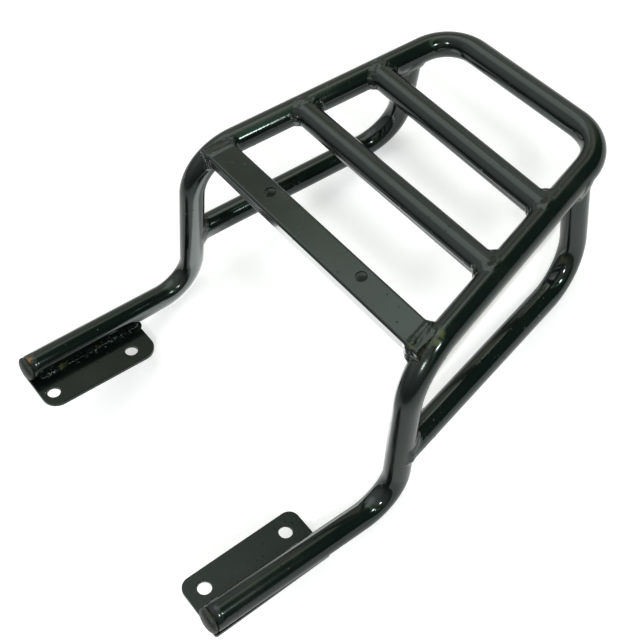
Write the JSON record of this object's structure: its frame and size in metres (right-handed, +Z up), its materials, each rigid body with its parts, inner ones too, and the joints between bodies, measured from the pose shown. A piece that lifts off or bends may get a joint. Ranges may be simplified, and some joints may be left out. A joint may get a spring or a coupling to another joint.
{
  "type": "motorcycle luggage rack",
  "caption": "Rear luggage rack of bent round tube with crossbars, a drilled flat bar, a bent brace below each side and a drilled plate under each arm.",
  "frame": {"origin": "midway between the two holes of the drilled crossbar, on its top face", "axes": "+X to the rider's right, +Y forward along the motorcycle, +Z up, square to the deck"},
  "size_m": [0.2686, 0.4133, 0.1456],
  "materials": {
    "tube_paint": "gloss black paint on steel",
    "weld_paint": "gloss black paint over rippled weld",
    "cap_plastic": "dull black"
  },
  "bodies": {
    "root": {"main_hoop": "tube_paint", "left_brace": "tube_paint", "right_brace": "tube_paint", "front_crossbar": "tube_paint", "middle_crossbar": "tube_paint", "rear_crossbar": "tube_paint", "left_mounting_plate": "tube_paint", "right_mounting_plate": "tube_paint", "left_end_cap": "cap_plastic", "right_end_cap": "cap_plastic", "front_crossbar_weld_left": "weld_paint", "front_crossbar_weld_right": "weld_paint", "middle_crossbar_weld_left": "weld_paint", "middle_crossbar_weld_right": "weld_paint", "rear_crossbar_weld_left": "weld_paint", "rear_crossbar_weld_right": "weld_paint", "brace_root_weld_left": "weld_paint", "brace_root_weld_right": "weld_paint", "brace_head_weld_left": "weld_paint", "brace_head_weld_right": "weld_paint", "plate_weld_left": "weld_paint", "plate_weld_right": "weld_paint"}
  },
  "joints": []
}
